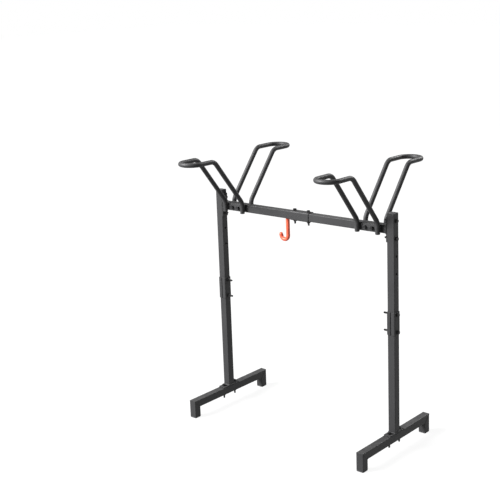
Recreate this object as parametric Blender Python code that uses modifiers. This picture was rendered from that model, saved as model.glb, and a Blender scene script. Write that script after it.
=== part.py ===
"""Freestanding stand that holds two bicycles, one hung above the other.

Two T-shaped legs of square tube carry a crossbar in two halves. Four bent loops,
two to the front and two to the back, are clamped on the crossbar as wheel cradles.
A coated hook hangs from the crossbar. All sizes are in metres, +X runs along the
crossbar, -Y is the front and the floor is at Z = 0.
"""
from math import asin, atan2, copysign, cos, pi, radians, sin, tan

import bmesh
import bpy
from mathutils import Vector

# Whole stand
UPRIGHT_SPACING = 0.876
BASE_LENGTH = 0.471
RAIL_TOP = 0.0765
CROSSBAR_HEIGHT = 0.8975
UPRIGHT_ABOVE_BAR = 0.0655

# Square tube
TUBE_SIDE = 0.032
TUBE_WALL = 0.0015
TUBE_CORNER = 0.002
TUBE_JOINT_GAP = 0.0005

# Fits
SEAT_GAP = 0.0003
PLUG_CLEARANCE = 0.0003
HOLE_CLEARANCE = 0.0005
WELD_DEPTH = 0.001

# Feet and plugs of plastic
CAP_FLANGE = 0.004
CAP_CHAMFER = 0.0012
CAP_INSERT = 0.014
TOP_PLUG_FLANGE = 0.0025
TOP_PLUG_CHAMFER = 0.001

# Foot plates
FOOT_PLATE_LENGTH = 0.100
FOOT_PLATE_THICKNESS = 0.004
BASE_BOLT_SPACING = 0.070
PLATE_CORNER = 0.0008

# Sleeves of folded sheet
SLEEVE_LENGTH = 0.092
SLEEVE_SHEET = 0.0025
SLEEVE_SEAM = 0.0024
SLEEVE_HEIGHT = 0.528
SLEEVE_BOLT_SPACING = 0.070

# Crossbar ends
END_PLATE_LENGTH = 0.099
END_PLATE_THICKNESS = 0.004
HEIGHT_STEP = 0.069
HEIGHT_HOLES = 4

# Wheel cradles
CRADLE_FROM_UPRIGHT = 0.0965
ARM_BAR = 0.018
ARM_LEG_SPACING = 0.095
ARM_LEG_BOTTOM = 0.0045
ARM_LOWER_BEND = 0.0265
ARM_HAND_HEIGHT = 0.2245
ARM_HAND_START = 0.188
ARM_REACH = 0.312
ARM_BEND_RADIUS = 0.040
CRADLE_PLATE_THICKNESS = 0.004
CRADLE_PLATE_HEIGHT = 0.031
CRADLE_PLATE_MARGIN = 0.004
CRADLE_BOLT_SPACING = 0.032

# Bolts and nuts
SHANK_DIAMETER = 0.008
HEX_SIDES = 6
HEX_ACROSS_FLATS = 0.013
HEAD_HEIGHT = 0.0075
NUT_HEIGHT = 0.0065
THREAD_CLEARANCE = 0.0003
BASE_BOLT_TAIL = 0.0130
SLEEVE_BOLT_TAIL = 0.0170
CROSSBAR_BOLT_TAIL = 0.0100
END_BOLT_TAIL = 0.0080
CRADLE_BOLT_TAIL = 0.0090

# Hook and its threaded insert
HOOK_OFFSET = 0.0735
HOOK_BAR = 0.0165
HOOK_BEND_RADIUS = 0.018
HOOK_DROP = 0.101
HOOK_LIP_ANGLE = radians(15)
HOOK_LIP_LENGTH = 0.0065
HOOK_STUD_DIAMETER = 0.008
HOOK_STUD_LENGTH = 0.020
INSERT_FLANGE_DIAMETER = 0.015
INSERT_FLANGE_THICKNESS = 0.0012
INSERT_BARREL_DIAMETER = 0.011
INSERT_LENGTH = 0.016

# Fineness of curves
CORNER_STEPS = 2
ROUND_SIDES = 16
BEND_STEP = radians(15)
ARM_ROUNDNESS = 4
CURVE_WELD = 0.00001
LEAST_CORNER = 0.0001
TIP_ANGLES = (radians(25), radians(50), radians(75))
SMOOTH_LIMIT = radians(40)

# How far the body that cuts a hole runs past the piece
CUT_PAST = 0.010

# Directions
QUARTER_TURN = pi / 2
ALONG_Z = (0, 0, 0)
ALONG_X = (0, QUARTER_TURN, 0)
ALONG_X_REVERSED = (0, QUARTER_TURN, pi)
ALONG_MINUS_X = (0, -QUARTER_TURN, 0)
ALONG_Y = (-QUARTER_TURN, 0, 0)
SIDE_VIEW = (QUARTER_TURN, 0, QUARTER_TURN)
SIDES = {"left": -1, "right": 1}
ENDS = {"front": -1, "rear": 1}

# Finishes: colour, roughness, metallic
POWDER_COAT = ((0.022, 0.022, 0.024, 1), 0.48, 0.0)
BLACK_ZINC = ((0.018, 0.018, 0.020, 1), 0.38, 0.85)
BLACK_PLASTIC = ((0.014, 0.014, 0.015, 1), 0.62, 0.0)
RED_COATING = ((0.62, 0.075, 0.040, 1), 0.42, 0.0)
PLAIN_STEEL = ((0.42, 0.42, 0.43, 1), 0.35, 1.0)

# Sizes that follow from the ones above
STAND_HEIGHT = CROSSBAR_HEIGHT + UPRIGHT_ABOVE_BAR
HALF_TUBE = TUBE_SIDE / 2
BORE_SIDE = TUBE_SIDE - 2 * TUBE_WALL
INSERT_SIDE = BORE_SIDE - 2 * PLUG_CLEARANCE
UPRIGHT_X = UPRIGHT_SPACING / 2
CRADLE_X = UPRIGHT_X - CRADLE_FROM_UPRIGHT
RAIL_BOTTOM = RAIL_TOP - TUBE_SIDE
FOOT_Y = BASE_LENGTH / 2 - HALF_TUBE
FOOT_BOTTOM = CAP_FLANGE + SEAT_GAP
FOOT_PLATE_BOTTOM = RAIL_TOP + SEAT_GAP
FOOT_PLATE_TOP = FOOT_PLATE_BOTTOM + FOOT_PLATE_THICKNESS
UPRIGHT_TOP = STAND_HEIGHT - TOP_PLUG_FLANGE - SEAT_GAP
SLEEVE_BORE = TUBE_SIDE + 2 * SEAT_GAP
SLEEVE_SIDE = SLEEVE_BORE + 2 * SLEEVE_SHEET
END_PLATE_FACE = UPRIGHT_X - HALF_TUBE - SEAT_GAP
END_PLATE_BACK = END_PLATE_FACE - END_PLATE_THICKNESS
CRADLE_PLATE_BACK = HALF_TUBE + SEAT_GAP
CRADLE_PLATE_FACE = CRADLE_PLATE_BACK + CRADLE_PLATE_THICKNESS
ARM_LEG_Y = CRADLE_PLATE_FACE + ARM_BAR / 2 - WELD_DEPTH / 2
HOLE_DIAMETER = SHANK_DIAMETER + 2 * HOLE_CLEARANCE
HEX_DIAMETER = HEX_ACROSS_FLATS / cos(pi / HEX_SIDES)
CROSSBAR_BOTTOM = CROSSBAR_HEIGHT - HALF_TUBE

for old in list(bpy.data.objects):
    bpy.data.objects.remove(old)

parts = bpy.data.collections.new("bike_stand")
cutters = bpy.data.collections.new("bike_stand_cutters")
bpy.context.scene.collection.children.link(parts)
bpy.context.scene.collection.children.link(cutters)

stand = bpy.data.objects.new("stand_origin", None)
parts.objects.link(stand)


# Helpers that make and place solids
def paint(obj, finish):
    """Give the object a material of its own."""
    colour, roughness, metallic = finish
    material = bpy.data.materials.new(obj.name + "_finish")
    material.use_nodes = True
    shader = material.node_tree.nodes["Principled BSDF"]
    shader.inputs["Base Color"].default_value = colour
    shader.inputs["Roughness"].default_value = roughness
    shader.inputs["Metallic"].default_value = metallic
    material.diffuse_color = colour
    if not obj.data.materials:
        obj.data.materials.append(None)
    obj.material_slots[0].link = "OBJECT"
    obj.material_slots[0].material = material


def add(name, mesh, location, rotation=ALONG_Z, finish=POWDER_COAT, parent=None):
    """Put a mesh into the stand as a named piece."""
    obj = bpy.data.objects.new(name, mesh)
    parts.objects.link(obj)
    obj.location = location
    obj.rotation_euler = rotation
    obj.parent = parent or stand
    paint(obj, finish)
    return obj


def add_tool(name, mesh, location, rotation=ALONG_Z):
    """Put a mesh among the bodies that only shape other pieces."""
    obj = bpy.data.objects.new(name, mesh)
    cutters.objects.link(obj)
    obj.location = location
    obj.rotation_euler = rotation
    obj.hide_render = True
    obj.display_type = "WIRE"
    return obj


def boolean(obj, other, operation):
    """Join another body to the object or cut it out."""
    step = obj.modifiers.new(other.name, "BOOLEAN")
    step.operation = operation
    step.solver = "EXACT"
    step.object = other


def chamfer(obj, width, segments=1):
    """Break the sharp edges of a block."""
    step = obj.modifiers.new("edge", "BEVEL")
    step.width = width
    step.segments = segments
    step.limit_method = "ANGLE"


def box_mesh(name, size):
    """A block of the given size about its own centre."""
    shape = bmesh.new()
    bmesh.ops.create_cube(shape, size=1)
    bmesh.ops.scale(shape, vec=Vector(size), verts=shape.verts)
    mesh = bpy.data.meshes.new(name)
    shape.to_mesh(mesh)
    shape.free()
    return mesh


def round_mesh(name, diameter, length, sides=ROUND_SIDES, base=0.0):
    """A prism or cylinder along +Z that starts at the given base."""
    shape = bmesh.new()
    radius = diameter / 2
    bmesh.ops.create_cone(shape, cap_ends=True, segments=sides, radius1=radius,
                          radius2=radius, depth=length)
    bmesh.ops.translate(shape, vec=(0, 0, base + length / 2), verts=shape.verts)
    mesh = bpy.data.meshes.new(name)
    shape.to_mesh(mesh)
    shape.free()
    return mesh


def mesh_of(obj, name):
    """Closed mesh of an evaluated object, which is then removed."""
    graph = bpy.context.evaluated_depsgraph_get()
    mesh = bpy.data.meshes.new_from_object(obj.evaluated_get(graph))
    mesh.name = name
    shape = bmesh.new()
    shape.from_mesh(mesh)
    bmesh.ops.remove_doubles(shape, verts=shape.verts, dist=CURVE_WELD)
    shape.to_mesh(mesh)
    shape.free()
    mesh.transform(obj.matrix_world)
    bpy.data.objects.remove(obj)
    return mesh


def outline_mesh(name, outlines, thickness, edge=0.0):
    """Flat closed outlines extruded to a thickness, with rounded rims."""
    curve = bpy.data.curves.new(name, "CURVE")
    curve.dimensions = "2D"
    curve.fill_mode = "BOTH"
    curve.extrude = thickness / 2 - edge
    curve.bevel_depth = edge
    curve.bevel_resolution = CORNER_STEPS - 1
    curve.offset = -edge
    for outline in outlines:
        spline = curve.splines.new("POLY")
        spline.points.add(len(outline) - 1)
        for point, (x, y) in zip(spline.points, outline):
            point.co = (x, y, 0, 1)
        spline.use_cyclic_u = True
    obj = bpy.data.objects.new(name, curve)
    cutters.objects.link(obj)
    bpy.context.view_layer.update()
    return mesh_of(obj, name)


def bar_mesh(name, path, diameter, sizes=None, roundness=ARM_ROUNDNESS):
    """A round bar along a path, with optional relative sizes at its points."""
    curve = bpy.data.curves.new(name, "CURVE")
    curve.dimensions = "3D"
    curve.bevel_depth = diameter / 2
    curve.bevel_resolution = roundness
    curve.use_fill_caps = True
    spline = curve.splines.new("POLY")
    spline.points.add(len(path) - 1)
    for index, (point, place) in enumerate(zip(spline.points, path)):
        point.co = (place[0], place[1], place[2], 1)
        point.radius = sizes[index] if sizes else 1
    obj = bpy.data.objects.new(name, curve)
    cutters.objects.link(obj)
    bpy.context.view_layer.update()
    return mesh_of(obj, name)


# Outlines and paths that follow a rule
def square_outline(side, corner):
    """Square with rounded corners, anticlockwise from the middle of its -Y side."""
    straight = side / 2 - corner
    points = []
    for quarter in range(4):
        start = (quarter - 1) * QUARTER_TURN
        middle = start + QUARTER_TURN / 2
        for step in range(CORNER_STEPS + 1):
            angle = start + QUARTER_TURN * step / CORNER_STEPS
            points.append((copysign(straight, cos(middle)) + corner * cos(angle),
                           copysign(straight, sin(middle)) + corner * sin(angle)))
    return points


def seam_outline(inner_side, sheet, seam, corner):
    """Folded sheet round a square, open in the middle of its -Y side."""
    outer_side = inner_side + 2 * sheet
    outer = square_outline(outer_side, corner + sheet)
    inner = square_outline(inner_side, corner)
    inner.reverse()
    outer_y = -outer_side / 2
    inner_y = -inner_side / 2
    return ([(seam / 2, outer_y)] + outer + [(-seam / 2, outer_y), (-seam / 2, inner_y)]
            + inner + [(seam / 2, inner_y)])


def portal_outline(half_length, top, bottom, side):
    """Rail with a down-turned foot at both ends, seen from its side."""
    inner = half_length - side
    return [(-half_length, bottom), (-inner, bottom), (-inner, top - side),
            (inner, top - side), (inner, bottom), (half_length, bottom),
            (half_length, top), (-half_length, top)]


def arc(centre, radius, start, turn):
    """Points of an arc in a plane, both ends included."""
    steps = max(1, round(abs(turn) / BEND_STEP))
    return [(centre[0] + radius * cos(start + turn * step / steps),
             centre[1] + radius * sin(start + turn * step / steps))
            for step in range(steps + 1)]


def bend(before, corner, after, radius):
    """Points of the arc that rounds a corner of a bar in a plane."""
    come = (Vector(corner) - Vector(before)).normalized()
    leave = (Vector(after) - Vector(corner)).normalized()
    turn = asin(come.x * leave.y - come.y * leave.x)
    start = Vector(corner) - come * radius * tan(abs(turn) / 2)
    side = copysign(1, turn)
    normal = Vector((-come.y, come.x)) * side
    centre = start + normal * radius
    return arc(centre, radius, atan2(-normal.y, -normal.x), turn)


def tube_mesh(name, length):
    """Open square tube about its own centre, along its own Z."""
    bore_corner = max(TUBE_CORNER - TUBE_WALL, LEAST_CORNER)
    outlines = [square_outline(TUBE_SIDE, TUBE_CORNER), square_outline(BORE_SIDE, bore_corner)]
    return outline_mesh(name, outlines, length)


# Fasteners: the origin is where the head or the nut seats, +Z leads to the tail
def bolt_mesh(name, length):
    """Hexagon bolt with its head below its seat."""
    head = add_tool(name + "_head", round_mesh(name, HEX_DIAMETER, HEAD_HEIGHT, HEX_SIDES,
                                               base=-HEAD_HEIGHT), (0, 0, 0))
    shank = add_tool(name + "_shank", round_mesh(name, SHANK_DIAMETER, length + WELD_DEPTH,
                                                 base=-WELD_DEPTH), (0, 0, 0))
    boolean(head, shank, "UNION")
    bpy.context.view_layer.update()
    mesh = mesh_of(head, name)
    bpy.data.objects.remove(shank)
    return mesh


def nut_mesh(name):
    """Hexagon nut with its thread as a plain bore."""
    body = add_tool(name + "_body", round_mesh(name, HEX_DIAMETER, NUT_HEIGHT, HEX_SIDES),
                    (0, 0, 0))
    bore_diameter = SHANK_DIAMETER + 2 * THREAD_CLEARANCE
    bore = add_tool(name + "_bore", round_mesh(name, bore_diameter, NUT_HEIGHT + 2 * CUT_PAST,
                                               base=-CUT_PAST), (0, 0, 0))
    boolean(body, bore, "DIFFERENCE")
    bpy.context.view_layer.update()
    mesh = mesh_of(body, name)
    bpy.data.objects.remove(bore)
    return mesh


NUT = nut_mesh("nut")


def hole(name, centre, rotation, depth):
    """Cutter for a bolt hole, centred on the depth that it goes through."""
    length = depth + 2 * CUT_PAST
    mesh = round_mesh(name, HOLE_DIAMETER, length, base=-length / 2)
    return add_tool(name, mesh, centre, rotation)


def fasten(kind, place, seat, rotation, bolt, grip):
    """Bolt from its seat through the grip, with a nut on the far side."""
    add("%s_bolt_%s" % (kind, place), bolt, seat, rotation, BLACK_ZINC)
    head = bpy.data.objects["%s_bolt_%s" % (kind, place)]
    reach = Vector((0, 0, grip))
    reach.rotate(head.rotation_euler)
    nut_seat = Vector(seat) + reach
    add("%s_nut_%s" % (kind, place), NUT, nut_seat, rotation, BLACK_ZINC)


# Base rails with their end caps
def make_base(side_name, side):
    x = side * UPRIGHT_X
    half = BASE_LENGTH / 2
    outer = outline_mesh("rail", [portal_outline(half, RAIL_TOP, FOOT_BOTTOM, TUBE_SIDE)],
                         TUBE_SIDE, edge=TUBE_CORNER)
    rail = add("base_rail_" + side_name, outer, (x, 0, 0), SIDE_VIEW)
    bore = portal_outline(half - TUBE_WALL, RAIL_TOP - TUBE_WALL, FOOT_BOTTOM - TUBE_WALL,
                          BORE_SIDE)
    bore_mesh = outline_mesh("rail_bore", [bore], BORE_SIDE)
    boolean(rail, add_tool("rail_bore_" + side_name, bore_mesh, (x, 0, 0), SIDE_VIEW),
            "DIFFERENCE")
    for end_name, end in ENDS.items():
        y = end * FOOT_Y
        place = "%s_%s" % (side_name, end_name)
        flange = box_mesh("cap", (TUBE_SIDE, TUBE_SIDE, CAP_FLANGE))
        cap = add("foot_cap_" + place, flange, (x, y, CAP_FLANGE / 2), ALONG_Z, BLACK_PLASTIC)
        chamfer(cap, CAP_CHAMFER)
        height = CAP_INSERT + CAP_FLANGE / 2
        insert = box_mesh("cap_insert", (INSERT_SIDE, INSERT_SIDE, height))
        centre = (x, y, CAP_FLANGE / 2 + height / 2)
        boolean(cap, add_tool("cap_insert_" + place, insert, centre), "UNION")
    return rail


# Lower uprights, welded on a foot plate that is bolted to the rail
def make_lower_upright(side_name, side, rail):
    x = side * UPRIGHT_X
    bottom = FOOT_PLATE_TOP - WELD_DEPTH
    top = SLEEVE_HEIGHT - TUBE_JOINT_GAP / 2
    tube = add("lower_upright_" + side_name, tube_mesh("lower_upright", top - bottom),
               (x, 0, (bottom + top) / 2))
    plate_mesh = box_mesh("foot_plate", (TUBE_SIDE, FOOT_PLATE_LENGTH, FOOT_PLATE_THICKNESS))
    plate = add_tool("foot_plate_" + side_name, plate_mesh,
                     (x, 0, (FOOT_PLATE_BOTTOM + FOOT_PLATE_TOP) / 2))
    chamfer(plate, PLATE_CORNER)
    boolean(tube, plate, "UNION")
    grip = FOOT_PLATE_THICKNESS + TUBE_SIDE + 3 * SEAT_GAP
    bolt = bolt_mesh("base_bolt", grip + NUT_HEIGHT + BASE_BOLT_TAIL)
    seat_z = FOOT_PLATE_TOP + SEAT_GAP
    for end_name, end in ENDS.items():
        place = "%s_%s" % (side_name, end_name)
        y = end * BASE_BOLT_SPACING / 2
        cutter = hole("base_hole_" + place, (x, y, seat_z - grip / 2), ALONG_Z, grip)
        boolean(tube, cutter, "DIFFERENCE")
        boolean(rail, cutter, "DIFFERENCE")
        fasten("base", place, (x, y, seat_z), (pi, 0, 0), bolt, grip)
    return tube


# Upper uprights with the holes that set the height of the crossbar
def make_upper_upright(side_name, side):
    x = side * UPRIGHT_X
    bottom = SLEEVE_HEIGHT + TUBE_JOINT_GAP / 2
    tube = add("upper_upright_" + side_name, tube_mesh("upper_upright", UPRIGHT_TOP - bottom),
               (x, 0, (bottom + UPRIGHT_TOP) / 2))
    for index in range(HEIGHT_HOLES):
        z = CROSSBAR_HEIGHT + HEIGHT_STEP / 2 - index * HEIGHT_STEP
        cutter = hole("height_hole_%s_%d" % (side_name, index + 1), (x, 0, z), ALONG_X,
                      TUBE_SIDE)
        boolean(tube, cutter, "DIFFERENCE")
    flange = box_mesh("top_plug", (TUBE_SIDE, TUBE_SIDE, TOP_PLUG_FLANGE))
    plug_z = STAND_HEIGHT - TOP_PLUG_FLANGE / 2
    plug = add("top_plug_" + side_name, flange, (x, 0, plug_z), ALONG_Z, BLACK_PLASTIC)
    chamfer(plug, TOP_PLUG_CHAMFER)
    height = CAP_INSERT + TOP_PLUG_FLANGE / 2
    insert = box_mesh("top_plug_insert", (INSERT_SIDE, INSERT_SIDE, height))
    boolean(plug, add_tool("top_plug_insert_" + side_name, insert,
                           (x, 0, plug_z - height / 2)), "UNION")
    return tube


# Sleeves that join the lower and upper tubes, with the seam to the front
def make_upright_sleeve(side_name, side, lower, upper):
    x = side * UPRIGHT_X
    mesh = outline_mesh("sleeve", [seam_outline(SLEEVE_BORE, SLEEVE_SHEET, SLEEVE_SEAM,
                                                TUBE_CORNER)], SLEEVE_LENGTH)
    sleeve = add("upright_sleeve_" + side_name, mesh, (x, 0, SLEEVE_HEIGHT))
    grip = SLEEVE_SIDE + 2 * SEAT_GAP
    bolt = bolt_mesh("sleeve_bolt", grip + NUT_HEIGHT + SLEEVE_BOLT_TAIL)
    inward = ALONG_MINUS_X if side > 0 else ALONG_X
    for row_name, row, tube in (("lower", -1, lower), ("upper", 1, upper)):
        place = "%s_%s" % (side_name, row_name)
        z = SLEEVE_HEIGHT + row * SLEEVE_BOLT_SPACING / 2
        cutter = hole("sleeve_hole_" + place, (x, 0, z), ALONG_X, grip)
        boolean(tube, cutter, "DIFFERENCE")
        boolean(sleeve, cutter, "DIFFERENCE")
        fasten("sleeve", place, (x + side * grip / 2, 0, z), inward, bolt, grip)


# Crossbar halves, each welded to an end plate that is bolted to its upright
def make_crossbar(side_name, side):
    inner = TUBE_JOINT_GAP / 2
    outer = END_PLATE_BACK + WELD_DEPTH
    bar = add("crossbar_" + side_name, tube_mesh("crossbar", outer - inner),
              (side * (inner + outer) / 2, 0, CROSSBAR_HEIGHT), ALONG_X)
    plate_mesh = box_mesh("end_plate", (END_PLATE_THICKNESS, TUBE_SIDE, END_PLATE_LENGTH))
    plate_x = side * (END_PLATE_BACK + END_PLATE_FACE) / 2
    plate = add_tool("end_plate_" + side_name, plate_mesh, (plate_x, 0, CROSSBAR_HEIGHT))
    chamfer(plate, PLATE_CORNER)
    boolean(bar, plate, "UNION")
    grip = TUBE_SIDE + END_PLATE_THICKNESS + 3 * SEAT_GAP
    bolt = bolt_mesh("end_bolt", grip + NUT_HEIGHT + END_BOLT_TAIL)
    inward = ALONG_MINUS_X if side > 0 else ALONG_X
    seat_x = side * (UPRIGHT_X + HALF_TUBE + SEAT_GAP)
    for row_name, row in (("lower", -1), ("upper", 1)):
        place = "%s_%s" % (side_name, row_name)
        z = CROSSBAR_HEIGHT + row * HEIGHT_STEP / 2
        cutter = hole("end_hole_" + place, (plate_x, 0, z), ALONG_X, END_PLATE_THICKNESS)
        boolean(bar, cutter, "DIFFERENCE")
        fasten("end", place, (seat_x, 0, z), inward, bolt, grip)
    return bar


# Sleeve over the middle of the crossbar, with its seam to the back
def make_crossbar_sleeve(bars):
    mesh = outline_mesh("sleeve", [seam_outline(SLEEVE_BORE, SLEEVE_SHEET, SLEEVE_SEAM,
                                                TUBE_CORNER)], SLEEVE_LENGTH)
    sleeve = add("crossbar_sleeve", mesh, (0, 0, CROSSBAR_HEIGHT), ALONG_X_REVERSED)
    grip = SLEEVE_SIDE + 2 * SEAT_GAP
    bolt = bolt_mesh("crossbar_bolt", grip + NUT_HEIGHT + CROSSBAR_BOLT_TAIL)
    for side_name, side in SIDES.items():
        x = side * SLEEVE_BOLT_SPACING / 2
        cutter = hole("crossbar_hole_" + side_name, (x, 0, CROSSBAR_HEIGHT), ALONG_Z, grip)
        boolean(bars[side_name], cutter, "DIFFERENCE")
        boolean(sleeve, cutter, "DIFFERENCE")
        fasten("crossbar", side_name, (x, 0, CROSSBAR_HEIGHT + grip / 2), (pi, 0, 0), bolt,
               grip)


# Wheel cradles: a bent bar welded to a plate, at the front and at the back
def arm_path():
    """Centre line of the bent bar, with +Y outward and its foot at the crossbar."""
    foot = (ARM_LEG_Y, -HALF_TUBE - ARM_LEG_BOTTOM)
    lower = (ARM_LEG_Y, ARM_LOWER_BEND)
    upper = (ARM_HAND_START, ARM_HAND_HEIGHT)
    hand_end = (ARM_REACH - ARM_LEG_SPACING / 2, ARM_HAND_HEIGHT)
    profile = [foot] + bend(foot, lower, upper, ARM_BEND_RADIUS)
    profile += bend(lower, upper, hand_end, ARM_BEND_RADIUS)
    half = ARM_LEG_SPACING / 2
    leg = [(half, y, z) for y, z in profile]
    loop = [(x, y + hand_end[0], ARM_HAND_HEIGHT) for x, y in arc((0, 0), half, 0, pi)]
    return leg + loop + [(-x, y, z) for x, y, z in reversed(leg)]


def make_cradle(side_name, side, bar):
    x = side * CRADLE_X
    grip = 2 * CRADLE_PLATE_FACE + 2 * SEAT_GAP
    arms = {}
    for end_name, end in ENDS.items():
        place = "%s_%s" % (side_name, end_name)
        turn = (0, 0, 0) if end > 0 else (0, 0, pi)
        arm = add("cradle_arm_" + place, bar_mesh("cradle_arm", arm_path(), ARM_BAR),
                  (x, 0, CROSSBAR_HEIGHT), turn)
        width = ARM_LEG_SPACING + 2 * CRADLE_PLATE_MARGIN
        plate_mesh = box_mesh("cradle_plate", (width, CRADLE_PLATE_THICKNESS,
                                               CRADLE_PLATE_HEIGHT))
        plate_y = end * (CRADLE_PLATE_BACK + CRADLE_PLATE_FACE) / 2
        plate = add_tool("cradle_plate_" + place, plate_mesh, (x, plate_y, CROSSBAR_HEIGHT))
        chamfer(plate, PLATE_CORNER)
        boolean(arm, plate, "UNION")
        arms[end_name] = arm
    bolt = bolt_mesh("cradle_bolt", grip + NUT_HEIGHT + CRADLE_BOLT_TAIL)
    for row_name, row in (("inner", -side), ("outer", side)):
        place = "%s_%s" % (side_name, row_name)
        bolt_x = x + row * CRADLE_BOLT_SPACING / 2
        cutter = hole("cradle_hole_" + place, (bolt_x, 0, CROSSBAR_HEIGHT), ALONG_Y, grip)
        for piece in (bar, arms["front"], arms["rear"]):
            boolean(piece, cutter, "DIFFERENCE")
        fasten("cradle", place, (bolt_x, -grip / 2, CROSSBAR_HEIGHT), ALONG_Y, bolt, grip)


# Hook that screws into a flanged insert in the underside of the crossbar
def hook_path():
    """Centre line of the hook from its top down, round the bend and up the lip."""
    top = -INSERT_FLANGE_THICKNESS - 2 * SEAT_GAP
    bend_z = -HOOK_DROP + HOOK_BAR / 2 + HOOK_BEND_RADIUS
    turn = -(pi - HOOK_LIP_ANGLE)
    curve = arc((-HOOK_BEND_RADIUS, bend_z), HOOK_BEND_RADIUS, 0, turn)
    path = [(0, top)] + curve
    end = Vector(curve[-1])
    lip = Vector((-sin(HOOK_LIP_ANGLE), cos(HOOK_LIP_ANGLE)))
    straight = end + lip * HOOK_LIP_LENGTH
    path.append(tuple(straight))
    sizes = [1] * len(path)
    for angle in TIP_ANGLES:
        path.append(tuple(straight + lip * sin(angle) * HOOK_BAR / 2))
        sizes.append(cos(angle))
    return [(x, 0, z) for x, z in path], sizes


def make_hook(bar):
    pivot = bpy.data.objects.new("hook_axis", None)
    parts.objects.link(pivot)
    pivot.location = (-HOOK_OFFSET, 0, CROSSBAR_BOTTOM)
    pivot.parent = stand
    path, sizes = hook_path()
    hook = add("hook", bar_mesh("hook", path, HOOK_BAR, sizes), (0, 0, 0), ALONG_Z,
               RED_COATING, pivot)
    stud_mesh = round_mesh("hook_stud", HOOK_STUD_DIAMETER, HOOK_STUD_LENGTH + WELD_DEPTH,
                           base=-WELD_DEPTH - INSERT_FLANGE_THICKNESS - 2 * SEAT_GAP)
    stud = add_tool("hook_stud", stud_mesh, (-HOOK_OFFSET, 0, CROSSBAR_BOTTOM))
    boolean(hook, stud, "UNION")
    bore = HOOK_STUD_DIAMETER / 2 + THREAD_CLEARANCE
    low = -INSERT_FLANGE_THICKNESS - SEAT_GAP
    high = low + INSERT_LENGTH
    profile = [(bore, high), (INSERT_BARREL_DIAMETER / 2, high),
               (INSERT_BARREL_DIAMETER / 2, -SEAT_GAP), (INSERT_FLANGE_DIAMETER / 2, -SEAT_GAP),
               (INSERT_FLANGE_DIAMETER / 2, low), (bore, low)]
    shape = bmesh.new()
    ring = [shape.verts.new((radius, 0, z)) for radius, z in profile]
    for index, vert in enumerate(ring):
        shape.edges.new((vert, ring[(index + 1) % len(ring)]))
    mesh = bpy.data.meshes.new("hook_insert")
    shape.to_mesh(mesh)
    shape.free()
    insert = add("hook_insert", mesh, (-HOOK_OFFSET, 0, CROSSBAR_BOTTOM), ALONG_Z, PLAIN_STEEL)
    lathe = insert.modifiers.new("turned", "SCREW")
    lathe.steps = ROUND_SIDES
    lathe.render_steps = ROUND_SIDES
    lathe.use_merge_vertices = True
    lathe.merge_threshold = CURVE_WELD
    cutter_mesh = round_mesh("hook_hole", INSERT_BARREL_DIAMETER + 2 * SEAT_GAP, 2 * CUT_PAST,
                             base=-CUT_PAST)
    cutter = add_tool("hook_hole", cutter_mesh, (-HOOK_OFFSET, 0, CROSSBAR_BOTTOM))
    boolean(bar, cutter, "DIFFERENCE")


crossbars = {}
for label, sign in SIDES.items():
    base_rail = make_base(label, sign)
    lower_tube = make_lower_upright(label, sign, base_rail)
    upper_tube = make_upper_upright(label, sign)
    make_upright_sleeve(label, sign, lower_tube, upper_tube)
    crossbars[label] = make_crossbar(label, sign)
    make_cradle(label, sign, crossbars[label])
make_crossbar_sleeve(crossbars)
make_hook(crossbars["left"])

# Round pieces are shaded smooth with their sharp edges kept
for piece in parts.objects:
    if piece.type == "MESH":
        piece.data.shade_smooth()
        piece.data.set_sharp_from_angle(angle=SMOOTH_LIMIT)
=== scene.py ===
"""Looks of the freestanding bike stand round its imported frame.

Metres, +X along the crossbar, -Y to the front, +Z up and the floor at Z = 0. Every piece
stands for the CAD node that it is placed by, or rides on that node's body as its trim.
"""
from math import asin, atan2, ceil, copysign, cos, pi, radians, sin, sqrt, tan

import bmesh
import bpy
from mathutils import Matrix, Vector


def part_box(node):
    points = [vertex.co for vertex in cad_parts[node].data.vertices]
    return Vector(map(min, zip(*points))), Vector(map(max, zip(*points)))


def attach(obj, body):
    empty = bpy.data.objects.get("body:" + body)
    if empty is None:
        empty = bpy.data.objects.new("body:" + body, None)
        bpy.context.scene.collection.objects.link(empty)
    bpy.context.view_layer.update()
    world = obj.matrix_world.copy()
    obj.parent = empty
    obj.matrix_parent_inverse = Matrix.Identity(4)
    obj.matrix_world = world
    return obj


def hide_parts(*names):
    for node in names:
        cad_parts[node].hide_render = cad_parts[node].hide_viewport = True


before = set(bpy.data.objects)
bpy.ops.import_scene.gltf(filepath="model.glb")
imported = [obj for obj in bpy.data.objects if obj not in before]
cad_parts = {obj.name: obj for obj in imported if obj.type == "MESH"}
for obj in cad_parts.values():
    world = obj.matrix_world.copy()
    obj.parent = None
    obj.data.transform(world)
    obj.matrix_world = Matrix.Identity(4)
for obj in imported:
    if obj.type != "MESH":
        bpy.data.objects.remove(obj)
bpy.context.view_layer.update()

SIDES = {"left": -1, "right": 1}
ENDS = {"front": -1, "rear": 1}
X, Y, Z = Vector((1, 0, 0)), Vector((0, 1, 0)), Vector((0, 0, 1))

# Sizes that are shared with the CAD source
TUBE = 0.032
WALL = 0.0015
CORNER = 0.002
SHEET = 0.0025
SEAT = 0.0003
WELD_DEPTH = 0.001
PLATE = 0.004
PLATE_HEIGHT = 0.031
PLATE_MARGIN = 0.004
BAR = 0.018
LEG_SPACING = 0.095
LEG_BOTTOM = 0.0045
LOWER_BEND = 0.0265
HAND_HEIGHT = 0.2245
HAND_START = 0.188
REACH = 0.312
BEND_RADIUS = 0.040
SHANK = 0.008
HOLE_CLEARANCE = 0.0005
HEX = 0.013
HEAD = 0.0075
HOOK_X = -0.0735
HOOK_BAR = 0.0165
HOOK_RADIUS = 0.018
HOOK_DROP = 0.101
HOOK_LIP_ANGLE = radians(15)
HOOK_LIP = 0.0065
HOOK_FLANGE = 0.0012
INSERT_LEDGE = 0.002

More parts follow.
